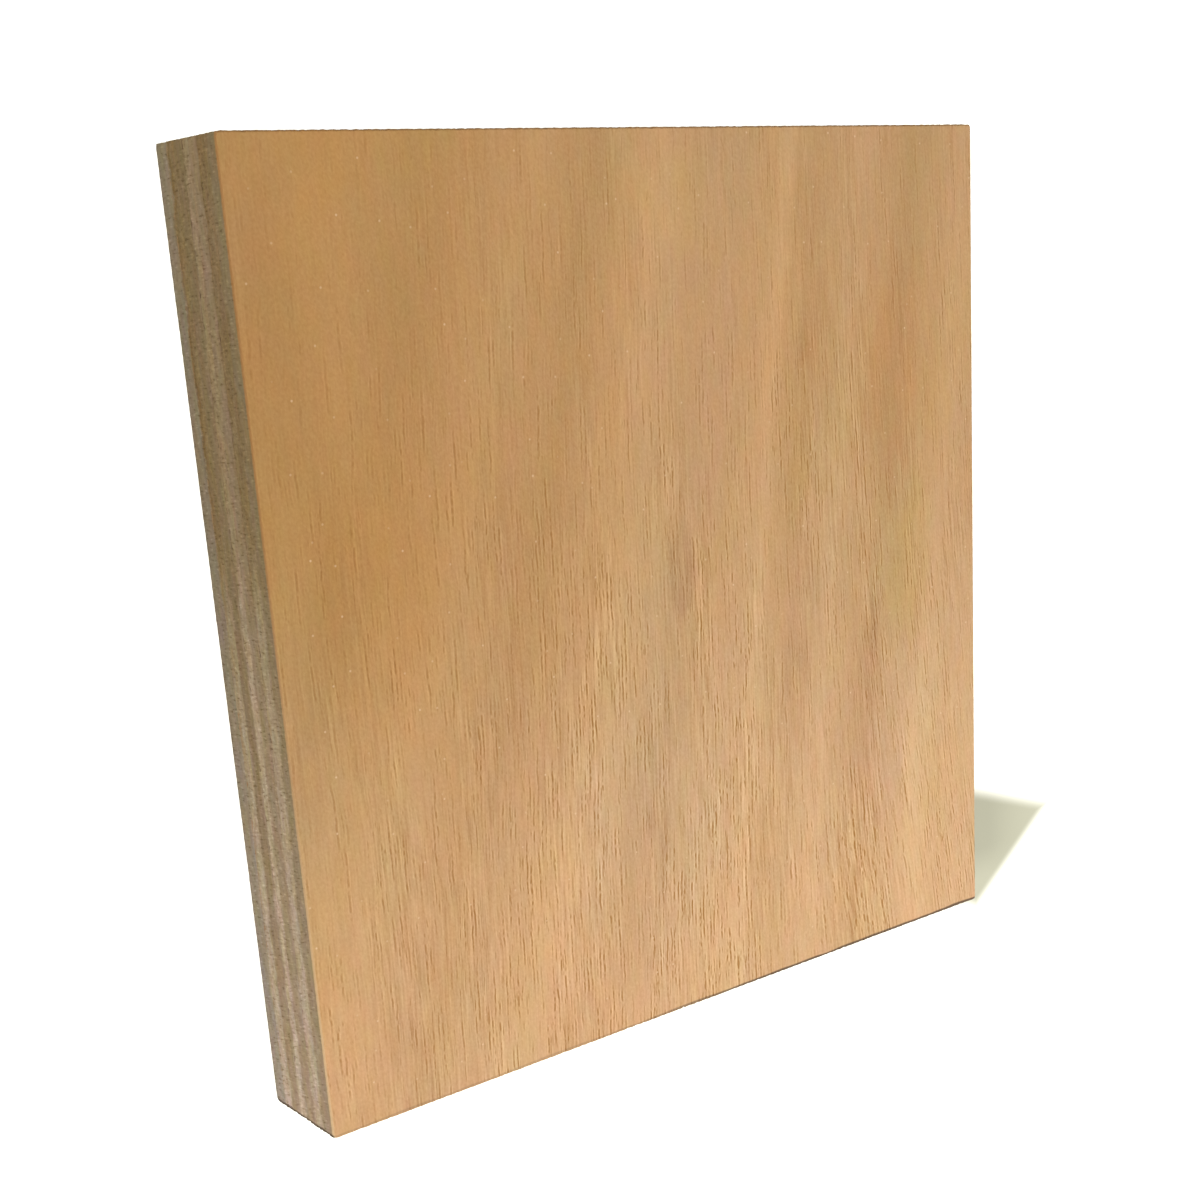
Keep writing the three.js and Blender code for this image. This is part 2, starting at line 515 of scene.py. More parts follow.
def weathered(graph, spot, colour, colours):
    """The good face's stains, darker far end and deeper left side (partly painted shade), warm near
    end and specks.
    """
    x, y, aged = spot.x, spot.y, spot.aged
    colour = stained(graph, x, y, colour)
    left = graph.smooth(-x, *WEATHER.left) * graph.lerp(aged, *WEATHER.left_shares)
    near = graph.fade(y, *WEATHER.near)
    for share, kept in ((aged, WEATHER.aged), (left, WEATHER.deeper), (near, WEATHER.warmer)):
        colour = graph.blend(share, colour, kept, "MULTIPLY")
    speck, chance = graph.cells(x / WEATHER.speck_gap, y / WEATHER.speck_gap)
    speck = graph.fade(speck, *WEATHER.speck_fade) * chance * WEATHER.speck_strength
    return graph.blend(speck, colour, colours.face_light)


# How open the grain stands: on the good face it opens towards the near end and a little to
# the right, and less at both sides. Clusters open or close it everywhere.
OPEN = Numbers(
    face=(0.2, 1.04), opening=(-98.0, 38.0), to_right=0.25,
    sides=(((-75.0, -15.0), (0.6, 1.1)), ((35.0, 70.0), (1.0, 0.78))),
    back=0.8, cluster=Lumps(5.0, 24.0, seed=2.3), cluster_fade=(0.28, 0.72),
    cluster_shares=(0.55, 1.48))

# What a sanded surface's tone and relief owe to each part, and how its colour wanders
SANDED = Numbers(
    streak=0.085, grit=0.27, grit_lumps=Lumps(0.42, 0.6, seed=1.1), fine=0.18, lip=0.2,
    comb=(0.2, 0.62), combed=Lumps(7.0, 48.0, seed=3.1), combed_fade=(0.42, 0.62),
    fibres=(0.2, 1.0), pores=(0.21, 0.67),
    broad=Lumps(12.0, 36.0, seed=1.7), broad_lean=0.22, broad_swing=(0.075, 0.045, 0.12),
    small=Lumps(2.2, 5.0, seed=2.9), small_swing=(0.06, 0.045, 0.10),
    back_bands=Lumps(12.0, 80.0, seed=1.3), back_lean=0.2, back_strength=0.6,
    fine_relief=0.2, comb_relief=0.1, grit_relief=0.2, pore_relief=0.6)


def sanded_surface(graph, ply, spot, wood, colours):
    """Colour and relief of the good face or the back: bands, streaks, fibres and open pores."""
    x, y = spot.x, spot.y

    def pattern(size, across, lift, detail=2.0):
        return graph.noise(across / size.across, lift, y / size.along, detail)

    def tint(size, across, swing):
        return graph.tint(across / size.across, ply.seed * size.seed, y / size.along, swing)

    if ply is FACE:
        dark, light = colours.face_dark, colours.face_light
        bands = growth_bands(graph, x, y) * BAND.strength
        opening = graph.smooth(-y + OPEN.to_right * x, *OPEN.opening)
        openness = graph.lerp(opening, *OPEN.face)
        for where, shares in OPEN.sides:
            openness = openness * graph.lerp(graph.smooth(x, *where), *shares)
    else:
        dark, light = colours.back_dark, colours.back_light
        bands = pattern(SANDED.back_bands, x - y * SANDED.back_lean, SANDED.back_bands.seed)
        bands = (bands - 0.5) * SANDED.back_strength
        openness = OPEN.back
    cluster = pattern(OPEN.cluster, wood.line, ply.seed * OPEN.cluster.seed)
    cluster = graph.smooth(cluster, *OPEN.cluster_fade)
    openness = openness * graph.lerp(cluster, *OPEN.cluster_shares)
    (long_ones, long_highlights), (short_ones, short_highlights) = (
        dashes(graph, wood, kind, openness, ply.seed + kind.seed)
        for kind in (LONG_PORES, SHORT_PORES))
    pores = graph.math("MAXIMUM", long_ones, short_ones)
    lip_highlights = long_highlights + short_highlights

    lift = ply.seed * SANDED.grit_lumps.seed + x + y
    grit = pattern(SANDED.grit_lumps, x, lift, detail=1.0) - 0.5
    combed = pattern(SANDED.combed, wood.line, ply.seed * SANDED.combed.seed)
    combed = graph.lerp(graph.smooth(combed, *SANDED.combed_fade), *SANDED.comb)
    # The pores' lips are lightened as a painted highlight
    fibres = wood.comb * combed + wood.fine * SANDED.fine + lip_highlights * SANDED.lip
    tone = (0.5 + bands + wood.streak * SANDED.streak + grit * SANDED.grit
            + graph.lerp(openness, *SANDED.fibres) * fibres)
    colour = graph.blend(graph.clamped(tone), dark, light)
    broad = tint(SANDED.broad, x - y * SANDED.broad_lean, SANDED.broad_swing)
    for tinge in (broad, tint(SANDED.small, x, SANDED.small_swing)):
        colour = graph.blend(1.0, colour, tinge, "MULTIPLY")
    pore_share = graph.clamped(pores * graph.lerp(openness, *SANDED.pores))
    colour = graph.blend(pore_share, colour, colours.pore)
    if ply is FACE:
        colour = weathered(graph, spot, colour, colours)
    relief = ((wood.fine * SANDED.fine_relief + wood.comb * SANDED.comb_relief) * openness
              + grit * SANDED.grit_relief - pores * SANDED.pore_relief)
    return colour, relief


# What age with its painted shade, stain and soaked resin leave of the sawn wood's channels,
# where the last two set in, and how the glue lines sway and fade
SEEP = Numbers(
    aged=(0.62, 0.60, 0.465), stained=(0.68, 0.60, 0.46),
    stain=(-1.0, 22.0), stain_lumps=Lumps(12.0, 1.0, 2.0, 4.4), stain_reach=30.0,
    soaked=(0.86, 0.77, 0.58), soak_fade=(0.3, 1.0),
    patch=Lumps(7.0, 1.0, seed=2.9), patch_fade=(0.3, 0.6))
GLUE = Numbers(fade=(-0.6, 0.6), reach=3.8, lumps=Lumps(8.0, 1.0, seed=5.3))


def even_colour(graph, ply, aged, stain):
    """The plain colour of a veneer on a sawn edge, as far as age, painted shade and stain change
    it.
    """
    fresh = srgb(*ply.tone)
    darkened = tuple(part * kept for part, kept in zip(fresh, SEEP.aged))
    colour = graph.blend(aged * ply.aged, fresh, darkened)
    return graph.blend(stain * ply.stained, colour, SEEP.stained, "MULTIPLY")


def layered_colour(graph, ply, spot, run):
    """A veneer's plain colour, frayed into its neighbours along the glue lines."""
    lumps = SEEP.stain_lumps
    sway = graph.noise(run / lumps.across, spot.z / lumps.up, lumps.seed) - 0.5
    stain = graph.smooth(spot.y + SEEP.stain_reach * sway, *SEEP.stain)
    colour = even_colour(graph, ply, spot.aged, stain)
    index = ALL_PLIES.index(ply)
    for name, step in (("above_lower", -1), ("below_upper", 1)):
        if not 0 <= index + step < len(ALL_PLIES):
            continue
        glue_line = index + min(step, 0)
        sway = graph.noise(
            run / GLUE.lumps.across, glue_line * GLUE.lumps.seed, 1.0,
            detail=5.0, roughness=0.66) - 0.5
        reached = graph.attribute(name) + sway * (step * GLUE.reach)
        if step < 0 and ply.resin:
            patch = SEEP.patch
            patches = graph.noise(run / patch.across, glue_line * patch.seed, spot.z)
            soaked = graph.fade(reached / ply.resin, *SEEP.soak_fade)
            soaked = soaked * spot.aged * graph.smooth(patches, *SEEP.patch_fade)
            colour = graph.blend(soaked, colour, SEEP.soaked, "MULTIPLY")
        neighbour = even_colour(graph, ALL_PLIES[index + step], spot.aged, stain)
        colour = graph.blend(graph.fade(reached, *GLUE.fade), colour, neighbour)
    return colour


# Scratches cross the edge and lean over more towards the near end of the sides, and patches,
# mottle and veins follow the veneers. Then what a sawn surface's tone and relief owe to each
# part, how its colour wanders, and how far it turns before it counts as a side or an end.
CUT = Numbers(
    leans=(0.05, 0.23), lean_change=(-40.0, 70.0), side_step=3.0,
    scratch=Lumps(0.36, 1.0, 1.4, 0.0), coarse=Lumps(0.8, 1.0, 1.5, 9.0),
    bright=(0.62, 0.78), dull=(0.62, 0.76),
    patch=Lumps(8.0, 1.0, 1.1, 1.1), patch_lean=-0.06, patch_tones=(0.2, 0.28),
    mottle=Lumps(1.5, 1.0, 0.7, 0.7), mottle_lean=0.2, mottle_tone=0.5,
    vein=Lumps(9.0, 1.0, 1.3, 2.1), vein_fade=(0.0, 0.07), long_vein=-0.05, cross_vein=0.15,
    streak_tone=0.25, comb_tone=0.15, fine_tone=0.3, coarse_tone=0.4, scratch_tone=0.6,
    bright_tone=0.42, dull_tone=0.45, fine_relief=0.35, comb_relief=0.2, scratch_relief=1.2,
    darkest=(0.585, 0.535, 0.44), lightest=(1.44, 1.51, 1.67),
    tint=Lumps(5.0, 1.0, 1.8, 1.3), tint_swing=(0.11, 0.09, 0.27),
    on_side=(0.4, 0.6), on_ends=(0.3, 0.8))


def sawn_surface(graph, ply, spot, wood):
    """Colour and relief of a sawn edge: grain or its ends, and scratches across all plies."""
    lengthwise = ply.grain == "Y"
    on_side = graph.smooth(spot.side, *CUT.on_side)
    run = graph.lerp(on_side, spot.x, spot.y)
    ends = graph.smooth(spot.end if lengthwise else spot.side, *CUT.on_ends)
    cut = run - spot.z * graph.lerp(graph.smooth(-run, *CUT.lean_change), *CUT.leans)

    def scratches(size):
        seed = on_side * CUT.side_step + size.seed
        return graph.noise(cut / size.across, spot.z / size.up, seed, detail=1.0)

    def lumps(size, rise, detail=2.0):
        return graph.noise(run / size.across, rise / size.up, ply.seed * size.seed, detail) - 0.5

    scratch = scratches(CUT.scratch)
    coarse = scratches(CUT.coarse)
    bright = graph.smooth(scratch, *CUT.bright)
    dull = graph.smooth(1.0 - scratch, *CUT.dull)
    patch = lumps(CUT.patch, spot.z + run * CUT.patch_lean)
    mottle = lumps(CUT.mottle, spot.z + run * CUT.mottle_lean, detail=1.0)
    vein = graph.fade(abs(lumps(CUT.vein, spot.z)), *CUT.vein_fade)
    vein = vein * (CUT.long_vein if lengthwise else CUT.cross_vein)

    grain = wood.streak * CUT.streak_tone + wood.comb * CUT.comb_tone
    grain_ends = (coarse - 0.5) * CUT.coarse_tone + wood.fine * CUT.fine_tone
    tone = (0.5 + graph.lerp(ends, grain, grain_ends) + patch * graph.lerp(ends, *CUT.patch_tones)
            + vein + mottle * CUT.mottle_tone + (scratch - 0.5) * CUT.scratch_tone
            + bright * CUT.bright_tone - dull * CUT.dull_tone)
    shade = graph.blend(graph.clamped(tone), CUT.darkest, CUT.lightest)
    tint = graph.tint(
        run / CUT.tint.across, spot.z / CUT.tint.up, ply.seed * CUT.tint.seed, CUT.tint_swing)
    colour = layered_colour(graph, ply, spot, run)
    for layer in (shade, tint):
        colour = graph.blend(1.0, colour, layer, "MULTIPLY")
    relief = (wood.fine * CUT.fine_relief + wood.comb * CUT.comb_relief
              + scratch * CUT.scratch_relief + coarse * ends)
    return colour, relief


# The good face's eased arris, with a painted highlight that starts and ends so far below it and
# grows dimmer towards the far end, the painted shade along the underside's arris, and the
# painted shadow line at the near end
ARRIS = Numbers(
    # fresh and browned are the painted highlight's colours at the near and far end
    fresh=srgb(226, 190, 146), browned=srgb(160, 112, 62), start=0.6, end=0.35,
    facing=(0.7, 0.97), strength=0.7, dulled=(0.66, 0.68, 0.76), dull_line=(0.25, 0.6))
END_SHADOW = Numbers(
    lumps=Lumps(9.0, 1.0, 5.0, 6.1), reach=(0.4, 1.1), fade=(0.7, 1.1), facing=(0.85, 0.97),
    strengths=(0.85, 0.25), faint_facing=(0.2, 0.6), faint_fade=(-30.0, 20.0))


def marked_arrises(graph, ply, spot, colour, colours):
    """A colour with its arris painted as a highlight or in shade, and a painted shadow line at the
    near end.
    """
    if ply is FACE:
        # Painted highlight along the good face's eased arris, dimmer towards the far end
        top = THICKNESS * PER_MM
        rim = graph.fade(spot.top, *ARRIS.facing)
        rim = rim * graph.smooth(spot.z, top - ARRIS.start, top - ARRIS.end)
        edge = graph.blend(spot.aged, ARRIS.fresh, ARRIS.browned)
        colour = graph.blend(rim * ARRIS.strength, colour, edge)
    if ply is BACK:
        # Painted shade: a dull bluish line along the back's lower arris
        line = graph.fade(spot.z, *ARRIS.dull_line)
        colour = graph.blend(line, colour, ARRIS.dulled, "MULTIPLY")
    # Painted shadow along the near end: dark on the sawn sides, and on the face fainter to the left
    from_end = spot.y + HALF_LENGTH * PER_MM
    lumps = END_SHADOW.lumps
    uneven = graph.noise(spot.x / lumps.across, spot.z / lumps.up, lumps.seed)
    end_shade = graph.fade(from_end / graph.lerp(uneven, *END_SHADOW.reach), *END_SHADOW.fade)
    end_shade = end_shade * graph.fade(spot.end, *END_SHADOW.facing)
    faint = graph.smooth(spot.top, *END_SHADOW.faint_facing)
    faint = faint * graph.fade(spot.x, *END_SHADOW.faint_fade)
    return graph.blend(end_shade * graph.lerp(faint, *END_SHADOW.strengths), colour, colours.end_shadow_paint)


# How far a surface turns before it is sanded, and from how many mm of depth marks are painted
# darker as shade
WOOD = Numbers(
    sanded_facing=(0.35, 0.8), hollow_depths=(0.2, 0.36), hollow_strength=0.1,
    roughnesses=(0.66, 0.78), streak_roughness=0.06)


def solid_wood(ply, colours):
    """Wood through and through: its fibres, pores and rings run along the veneer's grain."""
    material = bpy.data.materials.new(ply.node + "_wood")
    material.use_nodes = True
    graph = Graph(material.node_tree)
    spot = spot_fields(graph)
    wood = fibre_fields(graph, ply, spot)
    sawn = graph.fade(spot.top, *WOOD.sanded_facing)

    colour, relief = sawn_surface(graph, ply, spot, wood)
    # Painted shade in the deepest marks
    hollow_shade = graph.smooth(graph.attribute("worn"), *WOOD.hollow_depths)
    colour = graph.blend(hollow_shade * WOOD.hollow_strength, colour, colours.hollow_shade)
    if ply in (BACK, FACE):
        sanded, sanded_relief = sanded_surface(graph, ply, spot, wood, colours)
        colour = graph.blend(sawn, sanded, colour)
        relief = graph.lerp(sawn, sanded_relief, relief)
    colour = marked_arrises(graph, ply, spot, colour, colours)

    bump = graph.node("ShaderNodeBump", output="Normal", inputs={
        "Strength": 0.5, "Distance": 0.12 * MM, "Height": relief})
    roughness = graph.lerp(sawn, *WOOD.roughnesses) + WOOD.streak_roughness * wood.streak
    surface = graph.node("ShaderNodeBsdfPrincipled", output="BSDF", inputs={
        "Base Color": colour, "Roughness": roughness, "Normal": bump,
        "Specular IOR Level": 0.2})
    graph.node("ShaderNodeOutputMaterial", inputs={"Surface": surface})
    return material


def add_object(name, data):
    """A new object in the scene."""
    thing = bpy.data.objects.new(name, data)
    bpy.context.scene.collection.objects.link(thing)
    return thing


# ---- The shape of one veneer ----

# The steps round an eased arris, the rows of points beside it on the flat, the fewest steps
# up a veneer's edge and the fewest along each side of a cap's innermost loop
ARRIS_STEPS = 5
FRINGE_ROWS = 6
FEWEST_ROWS = 4
FEWEST_STEPS = 8

# Spots closer than this count as one, as do those that agree to so many decimal places
SAME_SPOT = 1e-9
SAME_PLACES = 6


class GlueSurfaces:
    """The lower and upper surface of a packed veneer, as heights over the sheet."""

    def __init__(self, node):
        points = np.array([v.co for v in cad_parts[node].data.vertices])
        spots = np.round(points[:, :2], SAME_PLACES)
        self.across, columns = np.unique(spots[:, 0], return_inverse=True)
        self.along, rows = np.unique(spots[:, 1], return_inverse=True)
        shape = (len(self.across), len(self.along))
        self.lower = np.full(shape, np.inf)
        self.upper = np.full(shape, -np.inf)
        np.minimum.at(self.lower, (columns, rows), points[:, 2])
        np.maximum.at(self.upper, (columns, rows), points[:, 2])

    def height(self, surface, spots):
        """The height of a surface at each spot, between the four grid points round it."""
        def cell(lines, places):
            index = np.clip(np.searchsorted(lines, places) - 1, 0, len(lines) - 2)
            share = (places - lines[index]) / (lines[index + 1] - lines[index])
            return index, np.clip(share, 0.0, 1.0)
        column, right = cell(self.across, spots[:, 0])
        row, forward = cell(self.along, spots[:, 1])
        near = surface[column, row] * (1 - right) + surface[column + 1, row] * right
        far = surface[column, row + 1] * (1 - right) + surface[column + 1, row + 1] * right
        return near * (1 - forward) + far * forward

    def low(self, spots):
        return self.height(self.lower, spots)

    def high(self, spots):
        return self.height(self.upper, spots)


def level(height):
    """A flat surface at one height, to be asked for its heights at some spots."""
    return lambda spots: np.full(len(spots), height)


def outline(inset, steps):
    """Points round the sheet, anticlockwise, a little way in from its sawn edges."""
    half = np.array([HALF_WIDTH - inset, HALF_LENGTH - inset])
    corners = np.array([(-1, -1), (1, -1), (1, 1), (-1, 1)]) * half
    shares = np.arange(steps)[:, None] / steps
    sides = [corners[k] + shares * (corners[(k + 1) % 4] - corners[k]) for k in range(4)]
    return np.concatenate(sides)


def cap(rim, inset, steps):
    """Points inside a rim, coarser towards the middle, and triangles that close the space."""
    layers = [rim]
    gap = 2.0 * HALF_WIDTH / steps
    while steps > FEWEST_STEPS:
        steps = max(steps // 2, FEWEST_STEPS)
        gap *= 2
        inset += gap
        layers.append(outline(inset, steps))
    spots = np.concatenate(layers)
    found = delaunay_2d_cdt([Vector(spot) for spot in spots], [], [], 0, SAME_SPOT)
    source = [origins[0] for origins in found[3]]
    triangles = [[source[k] for k in triangle] for triangle in found[2]]
    return np.concatenate(layers[1:]), triangles


def quarter_arc(radius, steps):
    """Insets and falls of an eased edge, from the sawn side to the flat face."""
    angles = [k / steps * math.pi / 2 for k in range(steps + 1)]
    return [(radius * (1 - math.cos(a)), radius * (1 - math.sin(a))) for a in angles]


def rings(ply, surfaces, finish, steps):
    """The loops of points that wrap a veneer, from its underside round to its top."""
    pitch, radius = finish.point_pitch, finish.arris_radius
    fringe = [(radius + k * pitch, 0.0) for k in range(1, FRINGE_ROWS + 1)]
    eased = quarter_arc(radius, ARRIS_STEPS) + fringe
    low = level(radius) if ply is BACK else surfaces.low
    high = level(THICKNESS - radius) if ply is FACE else surfaces.high

    def between(share):
        return lambda spots: low(spots) * (1 - share) + high(spots) * share

    thickness = np.mean(surfaces.upper) - np.mean(surfaces.lower)
    rows = max(round(float(thickness) / pitch), FEWEST_ROWS)
    first = 1 if ply is BACK else 0
    last = rows - 1 if ply is FACE else rows
    profile = [(0.0, between(k / rows)) for k in range(first, last + 1)]
    if ply is BACK:
        profile = [(inset, level(fall)) for inset, fall in reversed(eased)] + profile
    if ply is FACE:
        profile += [(inset, level(THICKNESS - fall)) for inset, fall in eased]
    loops = []
    for inset, heights_at in profile:
        spots = outline(inset, steps)
        loops.append((inset, np.column_stack([spots, heights_at(spots)])))
    return loops


def veneer_blank(ply, finish):
    """A closed mesh of a veneer: fine along its sawn edges and coarse across its middle."""
    surfaces = GlueSurfaces(ply.node)
    steps = round(2 * HALF_WIDTH / finish.point_pitch)
    loops = rings(ply, surfaces, finish, steps)
    count = 4 * steps
    points = [loop for _, loop in loops]
    faces = []
    for k in range(len(loops) - 1):
        start, above = k * count, (k + 1) * count
        for i in range(count):
            j = (i + 1) % count
            faces.append((start + i, start + j, above + j, above + i))

    total = len(loops) * count
    bottom = level(0.0) if ply is BACK else surfaces.low
    top = level(THICKNESS) if ply is FACE else surfaces.high
    for k, heights_at, winding in ((0, bottom, -1), (len(loops) - 1, top, 1)):
        inset, rim = loops[k]
        inner, triangles = cap(rim[:, :2], inset, steps)
        points.append(np.column_stack([inner, heights_at(inner)]))
        ids = [*range(k * count, (k + 1) * count), *range(total, total + len(inner))]
        total += len(inner)
        faces += [[ids[corner] for corner in triangle[::winding]] for triangle in triangles]

    co = np.concatenate(points)
    mesh = bpy.data.meshes.new(ply.node + "_wood")
    mesh.from_pydata(co.tolist(), [], faces)
    distances = {
        "above_lower": co[:, 2] - surfaces.low(co), "below_upper": surfaces.high(co) - co[:, 2]}
    for name, values in distances.items():
        attribute = mesh.attributes.new(name, "FLOAT", "POINT")
        attribute.data.foreach_set("value", (values * PER_MM).astype(np.float32))
    return mesh


# ---- Saw marks, torn grain and chips ----

# How far in from the sawn edges the marks reach, torn grain and crumbled pits, how the saw's
# marks lean and bend, how unevenly the edge stands back, worn corners and chipped arrises
MARK = Numbers(
    reach=0.6, torn=Lumps(0.5, 5.0, 0.5), torn_fade=(0.35, 0.75), torn_shares=(0.45, 1.0),
    pit=Lumps(1.7, 1.7, 1.1), pit_fade=(0.1, 0.34),
    saw_lean=0.15, bend_size=9.0, bend=6.0, stand_size=17.0, stand_seed=3.1,
    corner_reach=1.1, chip=Lumps(0.9, 6.0, seed=1.7), chip_fade=(0.7, 0.8),
    chip_reach=(0.2, 1.2))


def finish_tree(inputs):
    """Geometry Nodes that press the sawn surfaces in where saw and wear have taken wood."""
    tree = bpy.data.node_groups.new("sawn_surface", "GeometryNodeTree")
    for way in ("INPUT", "OUTPUT"):
        tree.interface.new_socket("Geometry", in_out=way, socket_type="NodeSocketGeometry")
    for name in inputs:
        kind = "NodeSocketMaterial" if name == "Material" else "NodeSocketFloat"
        tree.interface.new_socket(name, in_out="INPUT", socket_type=kind)
    graph = Graph(tree)
    entry = graph.node("NodeGroupInput")

    def given(name):
        return graph.others(entry, name)[0]

    px, py, pz = graph.split(graph.node("GeometryNodeInputPosition"))
    x, y, z = px * PER_MM, py * PER_MM, pz * PER_MM
    turned = given("Grain Turned")
    seed = given("Seed")
    across = graph.lerp(turned, x, y)
    along = graph.lerp(turned, y, x)

    to_side = (given("Half Width") - abs(px)) * PER_MM
    to_end = (given("Half Length") - abs(py)) * PER_MM
    side_pull = graph.fade(to_side, 0.0, MARK.reach)
    end_pull = graph.fade(to_end, 0.0, MARK.reach)
    end_grain = graph.lerp(turned, end_pull, side_pull)

    def spread(size):
        return across / size.across, z / size.up + seed, along / size.along

    torn = graph.smooth(graph.noise(*spread(MARK.torn), detail=3.0), *MARK.torn_fade)
    torn = torn * graph.lerp(end_grain, *MARK.torn_shares)
    pit = graph.fade(graph.cells(*spread(MARK.pit))[0], *MARK.pit_fade) * end_grain
    run = graph.lerp(side_pull, x, y) + z * MARK.saw_lean
    bend = graph.noise(x / MARK.bend_size, y / MARK.bend_size, seed) * MARK.bend
    saw = graph.math("SINE", run / (given("Saw Pitch") * PER_MM) * math.tau + bend)
    saw = 0.5 + 0.5 * saw
    stand = graph.noise(x / MARK.stand_size, y / MARK.stand_size, seed * MARK.stand_seed)
    to_corner = graph.math("SQRT", to_side * to_side + to_end * to_end)
    corner = graph.fade(to_corner, 0.0, MARK.corner_reach)
    depth = (given("Tear Depth") * torn + given("Saw Depth") * (saw + stand)
             + given("Pit Depth") * pit + given("Corner Wear") * corner)

    below_face = abs(given("Outer Height") - pz) * PER_MM
    to_arris = graph.math("MAXIMUM", graph.math("MINIMUM", to_side, to_end), below_face)
    chip = graph.noise(
        across / MARK.chip.across, seed * MARK.chip.seed, along / MARK.chip.along)
    chip = graph.smooth(chip, *MARK.chip_fade) * graph.fade(to_arris, *MARK.chip_reach)
    chip = chip * given("Chip Depth")

    worn = depth + chip
    inward_x = -graph.math("SIGN", px) * worn * side_pull
    inward_y = -graph.math("SIGN", py) * worn * end_pull
    sink = graph.math("SIGN", THICKNESS / 2 - given("Outer Height")) * chip
    mesh = graph.node("GeometryNodeSetPosition", inputs={
        "Geometry": given("Geometry"), "Offset": graph.vector(inward_x, inward_y, sink)})
    mesh = graph.node(
        "GeometryNodeStoreNamedAttribute", {"data_type": "FLOAT", "domain": "POINT"},
        {"Geometry": mesh, "Name": "worn", "Value": worn * PER_MM})
    mesh = graph.node("GeometryNodeRealizeInstances", inputs={"Geometry": mesh})
    mesh = graph.node(
        "GeometryNodeSetMaterial", inputs={"Geometry": mesh, "Material": given("Material")})
    graph.node("NodeGroupOutput", inputs={"Geometry": mesh})
    return tree


def finished_piece(blank, tree, inputs):
    """The blank with the tree's marks in it, as an object with a plain mesh."""
    piece = add_object(blank.name, blank)
    modifier = piece.modifiers.new(tree.name, "NODES")
    modifier.node_group = tree
    for item in tree.interface.items_tree:
        if item.in_out == "INPUT" and item.name in inputs:
            modifier[item.identifier] = inputs[item.name]
    evaluated = piece.evaluated_get(bpy.context.evaluated_depsgraph_get())
    mesh = bpy.data.meshes.new_from_object(evaluated)
    piece.modifiers.clear()
    piece.data = mesh
    bpy.data.meshes.remove(blank)
    return piece


def build_veneer(ply, context):
    finish = context.scene.sawn_finish
    inputs = {
        "Half Width": HALF_WIDTH,
        "Half Length": HALF_LENGTH,
        "Grain Turned": float(ply.grain == "X"),
        "Outer Height": THICKNESS if ply is FACE else 0.0,
        "Saw Depth": finish.saw_depth,
        "Saw Pitch": finish.saw_pitch,
        "Tear Depth": finish.tear_depth,
        "Pit Depth": finish.pit_depth,
        "Corner Wear": finish.corner_wear,
        "Chip Depth": finish.chip_depth if ply in (BACK, FACE) else 0.0,
        "Seed": float(ply.seed),
        "Material": solid_wood(ply, context.scene.wood_colours),
    }
    tree = bpy.data.node_groups.get("sawn_surface") or finish_tree(inputs)
    piece = finished_piece(veneer_blank(ply, finish), tree, inputs)
    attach(piece, BODY)
    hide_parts(ply.node)


class SHEET_OT_outer_veneers(bpy.types.Operator):
    """Makes the good face and the back, with their eased arrises"""
    bl_idname = "plywood.outer_veneers"
    bl_label = "Outer veneers"

    def execute(self, context):
        for ply in (BACK, FACE):
            build_veneer(ply, context)
        return {"FINISHED"}


class SHEET_OT_core_veneers(bpy.types.Operator):
    """Makes the two inner veneers whose grain runs with the face"""
    bl_idname = "plywood.core_veneers"
    bl_label = "Core veneers"

    def execute(self, context):
        for ply in (LOWER_CORE, UPPER_CORE):
            build_veneer(ply, context)
        return {"FINISHED"}


class SHEET_OT_cross_veneers(bpy.types.Operator):
    """Makes the three veneers whose grain runs across the face"""
    bl_idname = "plywood.cross_veneers"
    bl_label = "Cross veneers"

    def execute(self, context):
        for ply in (LOWER_CROSSBAND, CENTRE, UPPER_CROSSBAND):
            build_veneer(ply, context)
        return {"FINISHED"}


# ---- The stage ----

# heading is clockwise from +Y, the way the camera looks, and elevation is the angle that it
# looks down by
CAMERA = Numbers(
    aim=Vector((-13.3, -31.9, 19.0)) * MM, distance=298.5 * MM,
    elevation=math.radians(50.08), heading=math.radians(116.26), roll=math.radians(107.06),
    shift_x=-0.02, shift_y=0.165, clip=10 * MM)

# The lamps' names, places and sizes
LAMPS = (("key", (-0.80, 0.0, 0.53), 0.22), ("near", (0.26, -0.40, 0.36), 0.30))

# How far the floor is lifted towards white in the open and in the sheet's shadow, and how
# bright its paint is there: the shadow is partly painted, as darker paint. The shadow lies
# along the right side, from start to reach and from the line near to far, and runs out in a
# wedge between the lines slant and top, an outline that is given, not cast. Each line is
# y = start + slope * x in metres.
SHADOW = Numbers(
    lifts=(0.9, 0.0), paint=0.8, start=0.06, reach=0.0925, far=0.0735,
    near=(-0.0400, -0.493), top=(-0.0242, -0.35), slant=(-0.1595, 0.772),
    fade=(-0.001, 0.004))

WHITE = (1, 1, 1, 1)


def add_camera(stage):
    camera = bpy.data.cameras.new("camera")
    camera.lens = stage.lens
    camera.shift_x = CAMERA.shift_x
    camera.shift_y = CAMERA.shift_y
    camera.clip_start = CAMERA.clip
    mount = add_object("camera", camera)
    flat = math.cos(CAMERA.elevation)
    look = Vector((
        flat * math.sin(CAMERA.heading), flat * math.cos(CAMERA.heading),
        -math.sin(CAMERA.elevation)))
    mount.location = CAMERA.aim - look * CAMERA.distance
    turn = look.to_track_quat("-Z", "Y").to_matrix()
    mount.rotation_euler = (turn @ Euler((0.0, 0.0, CAMERA.roll)).to_matrix()).to_euler()
    bpy.context.scene.camera = mount


